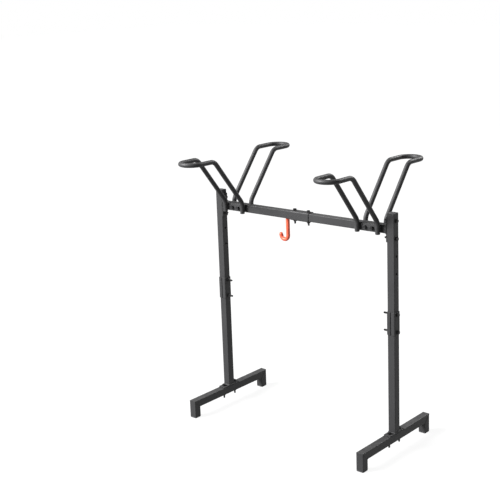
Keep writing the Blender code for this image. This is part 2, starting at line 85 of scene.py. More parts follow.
# Drawn a little wider here than in the CAD source, as the photograph shows them
DRAWN_BAR = 0.0192
DRAWN_SEAM = 0.0034

# Trim that only this file draws
RIM = 0.0004
RIM_STEPS = 3
PLATE_CORNER = 0.0022
PLATE_RIM = 0.0007
WASHER = 0.0016
WASHER_RADIUS = 0.0080
THREAD_PITCH = 0.00125
THREAD_DEPTH = 0.0006
THREAD_STEPS = 6
THREAD_TIP = SHANK / 2 - 2.2 * THREAD_DEPTH

# Distance from a rounded edge to the points beside it, which keep its wear narrow
EDGE_SUPPORT = 0.0008

# Rings in each scale of a weld bead
SCALE_STEPS = 6

# Edges that turn by more than this are shaded as sharp
SHARP = radians(35)
HOOK_SHARP = radians(50)

# Places that follow from the frame
rail_low, rail_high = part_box("base_rail_right")
bar_low, bar_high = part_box("crossbar_right")
UPRIGHT_X = (rail_low.x + rail_high.x) / 2
UPRIGHT_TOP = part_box("upper_upright_right")[1].z
RAIL_TOP = rail_high.z
BAR_Z = (bar_low.z + bar_high.z) / 2
BAR_BOTTOM = BAR_Z - TUBE / 2


# Materials
class Finish:
    """A material with a few short ways to add nodes."""

    def __init__(self, name, slot=None):
        self.material = bpy.data.materials.new(name)
        self.material.use_nodes = True
        self.tree = self.material.node_tree
        self.shader = self.tree.nodes["Principled BSDF"]
        self.slot = slot
        self.place = self.add("TexCoord").outputs["Object"]

    def feed(self, socket, value):
        """Links a socket to another one or sets its constant."""
        if isinstance(value, bpy.types.NodeSocket):
            self.tree.links.new(value, socket)
        else:
            socket.default_value = value

    def feed_all(self, node, values):
        for key, value in values.items():
            self.feed(node.inputs[key.replace("_", " ")], value)

    def set(self, **values):
        self.feed_all(self.shader, values)

    def add(self, kind, settings=(), **values):
        node = self.tree.nodes.new("ShaderNode" + kind)
        for key, value in dict(settings).items():
            setattr(node, key, value)
        self.feed_all(node, values)
        return node

    def noise(self, scale, detail=3.0, roughness=0.55):
        node = self.add("TexNoise", Vector=self.place, Scale=scale, Detail=detail,
                        Roughness=roughness)
        return node.outputs["Fac"]

    def cells(self, scale):
        """Distance to the middle of the nearest of many small cells."""
        return self.add("TexVoronoi", Vector=self.place, Scale=scale).outputs["Distance"]

    def spread(self, value, low, high, start=0.3, end=0.7):
        """A value between two numbers, by where another one lies between start and end."""
        node = self.add("MapRange", Value=value, From_Min=start, From_Max=end, To_Min=low,
                        To_Max=high)
        return node.outputs["Result"]

    def blend(self, share, first, second):
        """A colour between two others."""
        node = self.add("Mix", {"data_type": "RGBA"})
        for socket, value in zip((node.inputs[0], node.inputs[6], node.inputs[7]),
                                 (share, first, second)):
            self.feed(socket, value)
        return node.outputs[2]

    def math(self, operation, first, second):
        node = self.add("Math", {"operation": operation, "use_clamp": True})
        for socket, value in zip(node.inputs, (first, second)):
            self.feed(socket, value)
        return node.outputs[0]

    def bump(self, height, strength, distance, under=None):
        values = {"Height": height, "Strength": strength, "Distance": distance}
        if under:
            values["Normal"] = under
        return self.add("Bump", **values).outputs["Normal"]

    def upward(self):
        """How far a surface faces up, from 0 to 1."""
        normal = self.add("NewGeometry").outputs["Normal"]
        height = self.add("SeparateXYZ", Vector=normal).outputs["Z"]
        return self.spread(height, 0, 1, 0.35, 0.95)

    def edges(self, start=0.52, end=0.6):
        """How sharp an outer edge is, from 0 to 1."""
        return self.spread(self.add("NewGeometry").outputs["Pointiness"], 0, 1, start, end)


def powder_coat():
    """Satin black powder coat: fine orange peel, faint mottling, a little dust on top."""
    f = Finish("powder_coat_black", "powder_coated_frame")
    cloudy = f.noise(14, 4)
    peel = f.noise(1000, 2)
    grain = f.noise(2600, 2, 0.7)
    dark = f.blend(f.spread(cloudy, 0, 1), (0.0115, 0.0115, 0.012, 1),
                   (0.0135, 0.0135, 0.014, 1))
    speckled = f.blend(f.spread(grain, 0, 0.35, 0.45, 0.75), dark, (0.034, 0.034, 0.035, 1))
    dust = f.math("MULTIPLY", f.upward(), f.spread(f.noise(38, 6, 0.65), 0.0, 0.05))
    dusty = f.blend(dust, speckled, (0.20, 0.196, 0.188, 1))
    wear = f.math("MULTIPLY", f.edges(), f.spread(f.noise(90, 4), 0, 0.5, 0.45, 0.7))
    worn = f.blend(wear, dusty, (0.055, 0.055, 0.057, 1))
    rough = f.math("ADD", f.spread(cloudy, 0.45, 0.48), f.spread(grain, 0, 0.10))
    wavy = f.bump(peel, 0.26, 0.0005)
    f.set(Base_Color=worn, Roughness=rough, Normal=f.bump(grain, 0.28, 0.0001, wavy),
          Specular_IOR_Level=0.15)
    return f


def black_zinc():
    """Black plated steel of the bolts and nuts."""
    f = Finish("black_zinc", "black_fastener")
    cloudy = f.noise(160, 4)
    fine = f.noise(1500, 3, 0.7)
    colour = f.blend(f.spread(cloudy, 0, 1), (0.005, 0.005, 0.0055, 1),
                     (0.010, 0.010, 0.0105, 1))
    # Lighter sharp edges: partly worn plating, partly a painted highlight along the hexagons'
    # edges.
    wear = f.math("MULTIPLY", f.edges(0.53, 0.64), f.spread(fine, 0.1, 0.8))
    worn_and_highlit_edges = f.blend(wear, colour, (0.045, 0.0435, 0.042, 1))
    f.set(Base_Color=worn_and_highlit_edges, Metallic=0.2, Roughness=f.spread(cloudy, 0.36, 0.52),
          Normal=f.bump(fine, 0.15, 0.0001), Specular_IOR_Level=0.14)
    return f


def moulded_plastic():
    """Matt moulded black plastic of the caps and plugs."""
    f = Finish("moulded_black_plastic", "black_plastic")
    pebbles = f.cells(1300.0)
    cloudy = f.noise(60, 3)
    colour = f.blend(f.spread(cloudy, 0, 1), (0.011, 0.011, 0.012, 1),
                     (0.021, 0.021, 0.022, 1))
    wear = f.math("MULTIPLY", f.edges(), f.spread(f.noise(240, 4), 0, 0.6))
    scuffed = f.blend(wear, colour, (0.07, 0.07, 0.07, 1))
    f.set(Base_Color=scuffed, Roughness=f.spread(cloudy, 0.55, 0.72),
          Normal=f.bump(pebbles, 0.25, 0.00015), Specular_IOR_Level=0.25)
    return f


def red_dip():
    """Soft red coating of the hook."""
    f = Finish("red_dipped_coating", "red_coating")
    cloudy = f.noise(45, 3)
    runs = f.noise(130, 2)
    colour = f.blend(f.spread(cloudy, 0, 1), (0.295, 0.034, 0.0145, 1),
                     (0.365, 0.053, 0.023, 1))
    rubbed = f.blend(f.spread(f.noise(700, 4, 0.7), 0, 0.25, 0.5, 0.75), colour,
                     (0.41, 0.12, 0.08, 1))
    wavy = f.bump(runs, 0.30, 0.0006)
    f.set(Base_Color=rubbed, Roughness=f.spread(cloudy, 0.42, 0.56),
          Normal=f.bump(f.noise(1800, 2), 0.12, 0.0001, wavy), Subsurface_Weight=0.06,
          Subsurface_Scale=0.002, Subsurface_Radius=(1.0, 0.25, 0.15),
          Specular_IOR_Level=0.3)
    return f


def plated_steel():
    """Bright zinc of the insert and of the hook's threaded end."""
    f = Finish("bright_zinc", "insert_steel")
    spangle = f.cells(420.0)
    colour = f.blend(f.spread(spangle, 0, 1), (0.36, 0.36, 0.37, 1), (0.52, 0.52, 0.54, 1))
    f.set(Base_Color=colour, Metallic=1.0, Roughness=f.spread(f.noise(900, 3), 0.28, 0.46),
          Normal=f.bump(spangle, 0.08, 0.0001))
    return f


COAT = powder_coat()
ZINC = black_zinc()
PLASTIC = moulded_plastic()
RED = red_dip()
STEEL = plated_steel()


# Objects and meshes
def put_in_scene(name, data):
    obj = bpy.data.objects.new(name, data)
    bpy.context.scene.collection.objects.link(obj)
    return obj


def closed_mesh(name, verts, faces):
    """A mesh of closed shells whose faces all look outward."""
    mesh = bpy.data.meshes.new(name)
    mesh.from_pydata(verts, [], faces)
    shape = bmesh.new()
    shape.from_mesh(mesh)
    bmesh.ops.recalc_face_normals(shape, faces=shape.faces)
    shape.to_mesh(mesh)
    shape.free()
    return mesh


def piece(name, shells, finish, node=None, body="frame", sharp=SHARP):
    """One object of one or more lofted shells, which may stand for a CAD node."""
    verts, faces = [], []
    for shell_verts, shell_faces in shells:
        start = len(verts)
        verts += shell_verts
        faces += [[start + i for i in face] for face in shell_faces]
    mesh = closed_mesh(name, verts, faces)
    mesh.materials.append(finish.material)
    mesh.shade_smooth()
    mesh.set_sharp_from_angle(angle=sharp)
    obj = put_in_scene(name, mesh)
    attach(obj, body)
    if node:
        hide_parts(node)
    return obj


def loft(rings, closed=False):
    """A skin over rings of equally many points, capped at both ends or closed on itself."""
    count = len(rings[0])
    verts = [tuple(point) for row in rings for point in row]
    faces = []
    spans = len(rings) if closed else len(rings) - 1
    for i in range(spans):
        a, b = i * count, (i + 1) % len(rings) * count
        for j in range(count):
            k = (j + 1) % count
            faces.append((a + j, a + k, b + k, b + j))
    if not closed:
        faces.append(tuple(range(count)))
        last = (len(rings) - 1) * count
        faces.append(tuple(last + j for j in reversed(range(count))))
    return verts, faces


def axes(origin, u, v):
    """Places a local shape: its x along u, its y along v and its z along their cross."""
    w = u.cross(v)
    matrix = Matrix((u, v, w)).transposed().to_4x4()
    matrix.translation = origin
    return matrix


def rounded(width, depth, corner, steps=5):
    """Rounded rectangle as points with outward directions, from its corner at +x, -y.

    A point on each flat close to its corner keeps worn edges narrow.
    """
    points = []
    per_corner = steps + 3
    for quarter in range(4):
        middle = quarter * pi / 2 - pi / 4
        cx = copysign(width / 2 - corner, cos(middle))
        cy = copysign(depth / 2 - corner, sin(middle))
        turns = [pi / 2 * step / steps - pi / 4 for step in range(steps + 1)]
        for turn in [turns[0]] + turns + [turns[-1]]:
            angle = middle + turn
            points.append([cx + corner * cos(angle), cy + corner * sin(angle), cos(angle),
                           sin(angle)])
        for point, way in ((points[-per_corner], -1), (points[-1], 1)):
            point[0] -= way * point[3] * EDGE_SUPPORT
            point[1] += way * point[2] * EDGE_SUPPORT
    return [tuple(point) for point in points]


def ring(outline, inset, z, place):
    return [place @ Vector((x - nx * inset, y - ny * inset, z)) for x, y, nx, ny in outline]


def rims(outline, low, high, rim, place):
    """Rings of a bar between two heights with rounded rims."""
    turns = [pi / 2 * step / RIM_STEPS for step in range(RIM_STEPS + 1)]
    rings = [ring(outline, rim * (1 - sin(t)), low + rim * (1 - cos(t)), place) for t in turns]
    if high - low > 4 * (rim + EDGE_SUPPORT):
        rings += [ring(outline, 0, low + rim + EDGE_SUPPORT, place),
                  ring(outline, 0, high - rim - EDGE_SUPPORT, place)]
    rings += [ring(outline, rim * (1 - sin(t)), high - rim * (1 - cos(t)), place)
              for t in reversed(turns)]
    return rings


def hollow(outer, inner, low, high, place):
    """Open tube between two heights."""
    inside = rims([(x, y, -nx, -ny) for x, y, nx, ny in inner], low, high, RIM, place)
    return loft(rims(outer, low, high, RIM, place) + inside[::-1], closed=True)


def flat_plate(width, depth, low, high, place):
    outline = rounded(width, depth, PLATE_CORNER)
    return loft(rims(outline, low, high, PLATE_RIM, place))


def frames(path, closed=False):
    """Directions across a path that turn as little as they can."""
    count = len(path)
    tangents = []
    for i in range(count):
        before = path[i - 1] if closed or i else path[0]
        after = path[(i + 1) % count] if closed or i < count - 1 else path[i]
        tangents.append((after - before).normalized())
    across = tangents[0].orthogonal().normalized()
    result = []
    for i, tangent in enumerate(tangents):
        if i:
            across = tangents[i - 1].rotation_difference(tangent) @ across
        across = (across - tangent * across.dot(tangent)).normalized()
        result.append((across.copy(), tangent.cross(across)))
    return result


def sweep(path, radii, sides, closed=False):
    """A round bar along a path."""
    path = [Vector(p) for p in path]
    angles = [2 * pi * j / sides for j in range(sides)]
    rings = []
    for point, (u, v), radius in zip(path, frames(path, closed), radii):
        rings.append([point + (u * cos(a) + v * sin(a)) * radius for a in angles])
    return loft(rings, closed)


def along(path, step, closed=False):
    """The same line with points at even steps."""
    points = [Vector(p) for p in path]
    if closed:
        points.append(points[0])
    lengths = [0.0]
    for a, b in zip(points, points[1:]):
        lengths.append(lengths[-1] + (b - a).length)
    count = max(2, ceil(lengths[-1] / step))
    result, i = [], 0
    for k in range(count + (0 if closed else 1)):
        want = lengths[-1] * k / count
        while i < len(points) - 2 and lengths[i + 1] < want:
            i += 1
        span = lengths[i + 1] - lengths[i]
        result.append(points[i].lerp(points[i + 1], (want - lengths[i]) / span if span else 0))
    return result


def weld(path, radius, closed=False, pitch=0.0024, sides=10):
    """Weld bead of overlapping scales, uneven by a few percent and thinner at open ends."""
    step = pitch / SCALE_STEPS
    points = along(path, step, closed)
    count = len(points)
    scales = max(1, round(count * step / pitch))
    radii = []
    for k in range(count):
        phase = (k * scales / count) % 1.0
        wander = 1 + 0.06 * sin(k * 0.23) + 0.04 * sin(k * 0.071 + 1.3)
        radius_here = radius * wander * (0.86 + 0.16 * sqrt(max(0.0, 1 - phase)))
        if not closed:
            end = min(k, count - 1 - k) * step
            radius_here *= sqrt(min(1.0, (end + 0.0004) / (radius * 1.4)))
        radii.append(radius_here)
    return sweep(points, radii, sides, closed)


def arc(centre, radius, start, turn):
    steps = max(1, ceil(abs(turn) / radians(5)))
    return [(centre[0] + radius * cos(start + turn * k / steps),
             centre[1] + radius * sin(start + turn * k / steps)) for k in range(steps + 1)]


def bend(before, corner, after, radius):
    """Arc that rounds a corner of a bar in a plane."""
    come = (Vector(corner) - Vector(before)).normalized()
    leave = (Vector(after) - Vector(corner)).normalized()
    turn = asin(come.x * leave.y - come.y * leave.x)
    start = Vector(corner) - come * radius * tan(abs(turn) / 2)
    normal = Vector((-come.y, come.x)) * copysign(1, turn)
    return arc(start + normal * radius, radius, atan2(-normal.y, -normal.x), turn)


# Square tubes and the weld round one where it stands on a plate
BORE = TUBE - 2 * WALL
OUTSIDE = rounded(TUBE, TUBE, CORNER)
INSIDE = rounded(BORE, BORE, CORNER - WALL)
TUBE_BEAD = 0.0021
TUBE_BEAD_OUT = 0.0006
TUBE_BEAD_LIFT = 0.0005


def tube_weld(z, place):
    return weld(ring(OUTSIDE, -TUBE_BEAD_OUT, z, place), TUBE_BEAD, closed=True)


# Base rails
MITRE_BEAD = 0.0009
MITRE_PITCH = 0.0018


def make_rail(side_name, side):
    """Square tube with mitred, down-turned feet and the ground weld of each mitre."""
    node = "base_rail_" + side_name
    low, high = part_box(node)
    x = side * UPRIGHT_X
    middle_z = RAIL_TOP - TUBE / 2
    foot_y = (high.y - low.y) / 2 - TUBE / 2

    def rings(outline, inset):
        """Rings from the front foot's rim, past both mitres, to the rear foot's rim."""
        found = []
        for end in ENDS.values():
            foot = [[Vector((x + px - nx * inset, end * (foot_y - py + ny * inset), low.z))
                     for px, py, nx, ny in outline]]
            foot += [[Vector((x + px, end * (foot_y - py), low.z + RIM + rise))
                      for px, py, nx, ny in outline] for rise in (0, EDGE_SUPPORT)]
            mitre = [[Vector((x + px, end * (foot_y - py - max(0, push)),
                              middle_z - py + min(0, push))) for px, py, nx, ny in outline]
                     for push in (-EDGE_SUPPORT, 0, EDGE_SUPPORT)]
            found += foot + mitre if end < 0 else (foot + mitre)[::-1]
        return found

    outer, inner = rings(OUTSIDE, RIM), rings(INSIDE, -RIM)
    front_mitre, rear_mitre = outer[4], outer[7]
    piece(node + "_tube", [loft(outer + inner[::-1], closed=True)], COAT, node)
    beads = [weld(mitre, MITRE_BEAD, closed=True, pitch=MITRE_PITCH, sides=8)
             for mitre in (front_mitre, rear_mitre)]
    piece(node + "_mitre_welds", beads, COAT)


# Foot caps and top plugs
PEG = rounded(BORE - 2 * SEAT, BORE - 2 * SEAT, 0.0015)
PEG_TAPER = 0.0012
PEG_LEAD = 0.002
CAP_CORNER = 0.003
CAP_RIM = 0.0009
SOLE_SIDE = TUBE - 0.007
SOLE = rounded(SOLE_SIDE, SOLE_SIDE, CAP_CORNER)

# Inset and height of each ring of the sole's dish
SOLE_RINGS = ((0.0016, 0.0009), (0.0004, 0.0007), (0, 0))

PLUG_HEAD = rounded(TUBE, TUBE, 0.0025)
PLUG_BEVEL = 0.0003
PLUG_STEPS = 6
PLUG_ROUNDING = 0.0016
PLUG_FLANK = 0.0009
PLUG_FALL = 0.0004
DISH_CORNER = 0.0018

# Inset of each ring of the plug's dish, and its fall below the top
DISH_RINGS = ((0.0028, 0.0002), (0.0040, 0.0008), (0.0050, 0.0008), (0.0056, 0.0006))


def make_foot_cap(node, rail_node):
    """Plastic cap with a shallow dish in its sole and a peg up the foot."""
    low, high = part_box(node)
    middle = (low + high) / 2
    place = axes(Vector((middle.x, middle.y, 0)), X, Y)
    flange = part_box(rail_node)[0].z - SEAT
    rings = [ring(SOLE, inset, z, place) for inset, z in SOLE_RINGS]
    rings += rims(rounded(TUBE, TUBE, CAP_CORNER), 0, flange, CAP_RIM, place)
    rings += [ring(PEG, 0, flange, place), ring(PEG, 0, high.z - PEG_LEAD, place),
              ring(PEG, PEG_TAPER, high.z, place)]
    piece(node + "_moulding", [loft(rings)], PLASTIC, node)


def make_top_plug(node):
    """Plastic plug with a rounded head and a shallow dish in its top."""
    low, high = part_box(node)
    middle = (low + high) / 2
    place = axes(Vector((middle.x, middle.y, 0)), X, Y)
    seat = UPRIGHT_TOP + SEAT
    thick = high.z - seat
    rings = [ring(PEG, PEG_TAPER, low.z, place),
             ring(PEG, 0, low.z + PEG_LEAD, place), ring(PEG, 0, seat, place),
             ring(PLUG_HEAD, PLUG_BEVEL, seat, place),
             ring(PLUG_HEAD, 0, seat + PLUG_BEVEL, place)]
    for step in range(1, PLUG_STEPS + 1):
        turn = pi / 2 * step / PLUG_STEPS
        z = high.z - (thick - PLUG_FLANK) * (1 - sin(turn)) - PLUG_FALL
        rings.append(ring(PLUG_HEAD, PLUG_ROUNDING * (1 - cos(turn)), z, place))
    for inset, fall in DISH_RINGS:
        side = TUBE - 2 * inset
        rings.append(ring(rounded(side, side, DISH_CORNER), 0, high.z - fall, place))
    piece(node + "_moulding", [loft(rings)], PLASTIC, node)


# Holes that are cut into a piece
HOLE_SIDES = 40
CUT_BEYOND = 0.001

# Distance outside the tube's face, and how much wider a bolt hole is there
HOLE_ROUNDING = ((CUT_BEYOND, 0.0014), (0.00001, 0.0006), (-0.0003, 0.0002), (-0.0007, 0))


def cut_holes(obj, profile, places):
    """Round holes through a piece, by the distances and radii along their axes."""
    angles = [2 * pi * k / HOLE_SIDES for k in range(HOLE_SIDES)]
    for place in places:
        rings = [[place @ Vector((radius * cos(a), radius * sin(a), distance)) for a in angles]
                 for distance, radius in profile]
        tool = put_in_scene("hole", closed_mesh("hole", *loft(rings)))
        cut = obj.modifiers.new("hole", "BOOLEAN")
        cut.operation = "DIFFERENCE"
        cut.solver = "EXACT"
        cut.object = tool
        bpy.context.view_layer.update()
        graph = bpy.context.evaluated_depsgraph_get()
        made = bpy.data.meshes.new_from_object(obj.evaluated_get(graph))
        obj.modifiers.clear()
        obj.data = made
        bpy.data.objects.remove(tool)
    obj.data.set_sharp_from_angle(angle=SHARP)


# Uprights
def make_lower(side_name, side):
    """Lower tube with its foot plate and the weld round its foot."""
    node = "lower_upright_" + side_name
    low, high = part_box(node)
    place = axes(Vector((side * UPRIGHT_X, 0, 0)), X, Y)
    plate_top = low.z + PLATE
    tube = hollow(OUTSIDE, INSIDE, plate_top - WELD_DEPTH, high.z, place)
    plate = flat_plate(high.x - low.x, high.y - low.y, low.z, plate_top, place)
    piece(node + "_tube", [tube], COAT, node)
    piece(node + "_foot_plate", [plate], COAT)
    piece(node + "_weld", [tube_weld(plate_top + TUBE_BEAD_LIFT, place)], COAT)


def make_upper(side_name, side):
    """Upper tube with the four holes that set the crossbar's height."""
    node = "upper_upright_" + side_name
    low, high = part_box(node)
    place = axes(Vector((side * UPRIGHT_X, 0, 0)), X, Y)
    tube = piece(node + "_tube", [hollow(OUTSIDE, INSIDE, low.z, high.z, place)], COAT, node)
    ends = [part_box("end_bolt_%s_%s" % (side_name, row)) for row in ("lower", "upper")]
    lower, upper = [(a.z + b.z) / 2 for a, b in ends]
    step = upper - lower
    radius = SHANK / 2 + HOLE_CLEARANCE
    rim = [(TUBE / 2 + out, radius + wider) for out, wider in HOLE_ROUNDING]
    profile = rim + [(-distance, r) for distance, r in reversed(rim)]
    cut_holes(tube, profile, [axes(Vector((side * UPRIGHT_X, 0, z)), Y, Z)
                              for z in (lower - 2 * step, lower - step, lower, upper)])


# Sleeves
FOLD_STEPS = 6
SEAM_LIP = 0.0005


def seam_outline():
    """Section of sheet folded round a tube, with rounded lips beside its open seam."""
    inner_side = TUBE + 2 * SEAT
    outer_side = inner_side + 2 * SHEET
    outer = rounded(outer_side, outer_side, CORNER + SHEET, FOLD_STEPS)
    inner = [(x, y, -nx, -ny)
             for x, y, nx, ny in rounded(inner_side, inner_side, CORNER, FOLD_STEPS)]
    outer_y, inner_y = -outer_side / 2, -inner_side / 2
    edge = DRAWN_SEAM / 2
    start = [(edge, outer_y + SEAM_LIP, -1, 0),
             (edge + SEAM_LIP * 0.3, outer_y + SEAM_LIP * 0.3, -0.7, -0.7),
             (edge + SEAM_LIP, outer_y, 0, -1)]
    end = [(-x, y, -nx, ny) for x, y, nx, ny in reversed(start)]
    return (start + outer + end + [(-edge, inner_y, 0.7, 0.7)] + inner[::-1]
            + [(edge, inner_y, -0.7, 0.7)])


def make_sleeve(node, place, low, high):
    piece(node + "_sheet", [loft(rims(seam_outline(), low, high, RIM, place))], COAT, node)


# Crossbar
INSERT_GAP = 0.0002


def make_crossbar(side_name, side):
    """One half of the crossbar with its end plate, and on the left the insert's hole."""
    node = "crossbar_" + side_name
    low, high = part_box(node)
    inner = abs(low.x if side > 0 else high.x)
    face = abs(high.x if side > 0 else low.x)
    back = face - PLATE
    height = high.z - low.z
    middle = Vector((0, 0, BAR_Z))
    if side > 0:
        place, size = axes(middle, Y, Z), (TUBE, height)
    else:
        place, size = axes(middle, Z, Y), (height, TUBE)
    tube = piece(node + "_tube", [hollow(OUTSIDE, INSIDE, inner, back + WELD_DEPTH, place)],
                 COAT, node)
    if side < 0:
        insert_low, insert_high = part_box("hook_insert")
        radius = (insert_high.x - insert_low.x) / 2 - INSERT_LEDGE + INSERT_GAP
        profile = [(-TUBE / 2 - CUT_BEYOND, radius), (WALL - TUBE / 2 + CUT_BEYOND, radius)]
        cut_holes(tube, profile, [axes(Vector((HOOK_X, 0, BAR_Z)), X, Y)])
    piece(node + "_end_plate", [flat_plate(*size, back, face, place)], COAT)
    piece(node + "_weld", [tube_weld(back - TUBE_BEAD_LIFT, place)], COAT)


# Cradle arms
PLATE_BACK = TUBE / 2 + SEAT
PLATE_FACE = PLATE_BACK + PLATE
LEG_Y = PLATE_FACE + BAR / 2 - WELD_DEPTH / 2
ARM_SIDES = 32
LEG_BEAD = 0.0023
LEG_BEAD_ASIDE = 0.0070
LEG_BEAD_OUT = 0.0013
LEG_BEAD_SHORT = 0.0025

# Rise above a leg's cut end, and the share of the bar's radius there
LEG_END = ((0, 0.82), (0.0006, 0.95), (0.0012, 1))


def arm_path():
    """Middle line and radii of a bar: up one leg, round the loop and down the other leg."""
    foot = (LEG_Y, -TUBE / 2 - LEG_BOTTOM)
    lower = (LEG_Y, LOWER_BEND)
    upper = (HAND_START, HAND_HEIGHT)
    half = LEG_SPACING / 2
    hand_end = (REACH - half, HAND_HEIGHT)
    profile = [(foot[0], foot[1] + rise) for rise, share in LEG_END]
    profile += bend(foot, lower, upper, BEND_RADIUS)
    profile += bend(lower, upper, hand_end, BEND_RADIUS)
    leg = [(half, y, z) for y, z in profile]
    loop = [(x, y + hand_end[0], HAND_HEIGHT) for x, y in arc((0, 0), half, 0, pi)]
    path = leg + loop + [(-x, y, z) for x, y, z in reversed(leg)]
    radii = [DRAWN_BAR / 2] * len(path)
    for k, (rise, share) in enumerate(LEG_END):
        radii[k] = radii[-1 - k] = DRAWN_BAR / 2 * share
    return path, radii


def make_arm(node, end):
    """Bent bar with its clamping plate and the welds on both sides of each leg."""
    low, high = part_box(node)
    centre = Vector(((low.x + high.x) / 2, 0, BAR_Z))
    path, radii = arm_path()
    turned = [centre + Vector((x * end, y * end, z)) for x, y, z in path]
    piece(node + "_bar", [sweep(turned, radii, ARM_SIDES)], COAT, node)
    width = LEG_SPACING + 2 * PLATE_MARGIN
    if end < 0:
        place, size = axes(centre, X, Z), (width, PLATE_HEIGHT)
    else:
        place, size = axes(centre, Z, X), (PLATE_HEIGHT, width)
    piece(node + "_plate", [flat_plate(*size, PLATE_BACK, PLATE_FACE, place)], COAT)
    reach = PLATE_HEIGHT / 2 - LEG_BEAD_SHORT
    beads = []
    for leg in (-1, 1):
        for flank in (-1, 1):
            x = leg * LEG_SPACING / 2 + flank * LEG_BEAD_ASIDE
            line = [centre + Vector((x, end * (PLATE_FACE + LEG_BEAD_OUT), z))
                    for z in (-reach, reach)]
            beads.append(weld(line, LEG_BEAD))
    piece(node + "_welds", beads, COAT)


# Bolts and nuts, drawn with a multiple of six sides
SCREW_SIDES = 36
CHAMFER_START = 0.475 * HEX
CHAMFER_REACH = 0.1024 * HEX
CHAMFER_ANGLE = radians(30)
CHAMFER_STEPS = 4
FACE_RADIUS = 0.45 * HEX
NECK_RADIUS = 0.47 * HEX
HEAD_BOTTOM = -WASHER - 0.0004
NUT_CHAMFER = 0.0006


def circle(radius):
    return [radius] * SCREW_SIDES


def hexagon(limit):
    """Radii of a hexagon that a cone cuts off at its corners."""
    radii = []
    for k in range(SCREW_SIDES):
        angle = (2 * pi * k / SCREW_SIDES) % (pi / 3) - pi / 6
        radii.append(min(HEX / 2 / cos(angle), limit))
    return radii


def polar(radii, z, place):
    """Points round an axis at even angles and the radii given."""
    points = []
    for k, radius in enumerate(radii):
        angle = 2 * pi * k / SCREW_SIDES
        points.append(place @ Vector((radius * cos(angle), radius * sin(angle), z)))
    return points


def turned_rings(profile, place):
    """Round rings by their radii and heights."""
    return [polar(circle(radius), z, place) for radius, z in profile]


def chamfers(face, inward, place):
    """Rings where a cone trims the corners of a hexagon, from its face inward."""
    rings = []
    for k in range(CHAMFER_STEPS + 1):
        out = CHAMFER_REACH * k / CHAMFER_STEPS
        rings.append(polar(hexagon(CHAMFER_START + out),
                           face + inward * out * tan(CHAMFER_ANGLE), place))
    return rings


def thread(low, high, place):
    """Rings of a screw thread up to a chamfered end."""
    rings = []
    count = ceil((high - low) / (THREAD_PITCH / THREAD_STEPS))
    for i in range(count + 1):
        z = low + (high - low) * i / count
        to_end = (high - z) / THREAD_PITCH
        fade = min(1.0, to_end, (z - low) / THREAD_PITCH + 0.2)
        radii = []
        for k in range(SCREW_SIDES):
            phase = (z / THREAD_PITCH - k / SCREW_SIDES) % 1.0
            depth = THREAD_DEPTH * abs(2 * phase - 1)
            radii.append(SHANK / 2 - depth * fade - (1 - min(1.0, to_end)) * THREAD_DEPTH)
        rings.append(polar(radii, z, place))
    return rings


def extent(node, direction):
    """Middle of a fastener, the axis that it lies on, and its start and end there."""
    low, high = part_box(node)
    axis = max(range(3), key=lambda i: abs(direction[i]))
    start, end = low[axis], high[axis]
    if direction[axis] < 0:
        start, end = end, start
    return (low + high) / 2, axis, start, end


def screw_place(origin, direction, turn):
    u = direction.orthogonal().normalized()
    u.rotate(Matrix.Rotation(turn, 3, direction))
    return axes(origin, u, direction.cross(u))


def bolt(node, nut_node, direction, turn):
    """Hexagon bolt with a washer; it points in the direction, with its head behind."""
    seat, axis, start, end = extent(node, direction)
    seat[axis] = start + HEAD * direction[axis]
    length = abs(end - start) - HEAD
    nut_end = abs(extent(nut_node, direction)[3] - seat[axis])
    place = screw_place(seat, direction, turn)
    rings = turned_rings([(0.30 * HEX, -HEAD + 0.00025), (0.42 * HEX, -HEAD + 0.0002),
                          (FACE_RADIUS, -HEAD)], place)
    rings += chamfers(-HEAD, 1, place)
    rings += [polar(hexagon(HEX), HEAD_BOTTOM - 0.0003, place),
              polar(hexagon(0.52 * HEX), HEAD_BOTTOM, place)]
    rings += turned_rings([(NECK_RADIUS, HEAD_BOTTOM), (NECK_RADIUS, -WASHER),
                           (WASHER_RADIUS - 0.0003, -WASHER),
                           (WASHER_RADIUS, -WASHER + 0.0002), (WASHER_RADIUS, -0.0002),
                           (WASHER_RADIUS - 0.0002, 0), (SHANK / 2, 0),
                           (SHANK / 2, nut_end - 0.0012)], place)
    rings += thread(nut_end - 0.001, length, place)
    rings += turned_rings([(THREAD_TIP, length)], place)
    piece(node + "_hex", [loft(rings)], ZINC, node)


def nut(node, direction, turn):
    """Hexagon nut with both faces and its bore chamfered."""
    origin, axis, start, end = extent(node, direction)
    origin[axis] = start
    height = abs(end - start)
    place = screw_place(origin, direction, turn)
    bore = SHANK / 2 + 0.0001
    rings = turned_rings([(bore + NUT_CHAMFER, 0), (FACE_RADIUS, 0)], place)
    rings += chamfers(0, 1, place) + chamfers(height, -1, place)[::-1]
    rings += turned_rings([(FACE_RADIUS, height), (bore + NUT_CHAMFER, height),
                           (bore, height - NUT_CHAMFER), (bore, NUT_CHAMFER)], place)
    piece(node + "_hex", [loft(rings, closed=True)], ZINC, node)


def fasten(kind, place, direction, turn):
    """A bolt and its nut, whose hexagons are turned by different angles."""
    bolt_node, nut_node = ["%s_%s_%s" % (kind, part, place) for part in ("bolt", "nut")]
    bolt(bolt_node, nut_node, direction, turn)
    nut(nut_node, direction, turn * 1.7 + 0.2)


# Hook and its insert
HOOK_TOP = BAR_BOTTOM - HOOK_FLANGE - 2 * SEAT
HOOK_SIDES = 32
SHAFT_STEPS = 13
TIP_STEPS = 8
THREAD_ROOT = 0.002
INSERT_BORE = 0.0043

# Fall below the coating's upper end, and the share of the bar's radius there
HOOK_SHOULDER = ((0, 0.80), (0.0006, 0.93), (0.0012, 0.985), (0.004, 1))


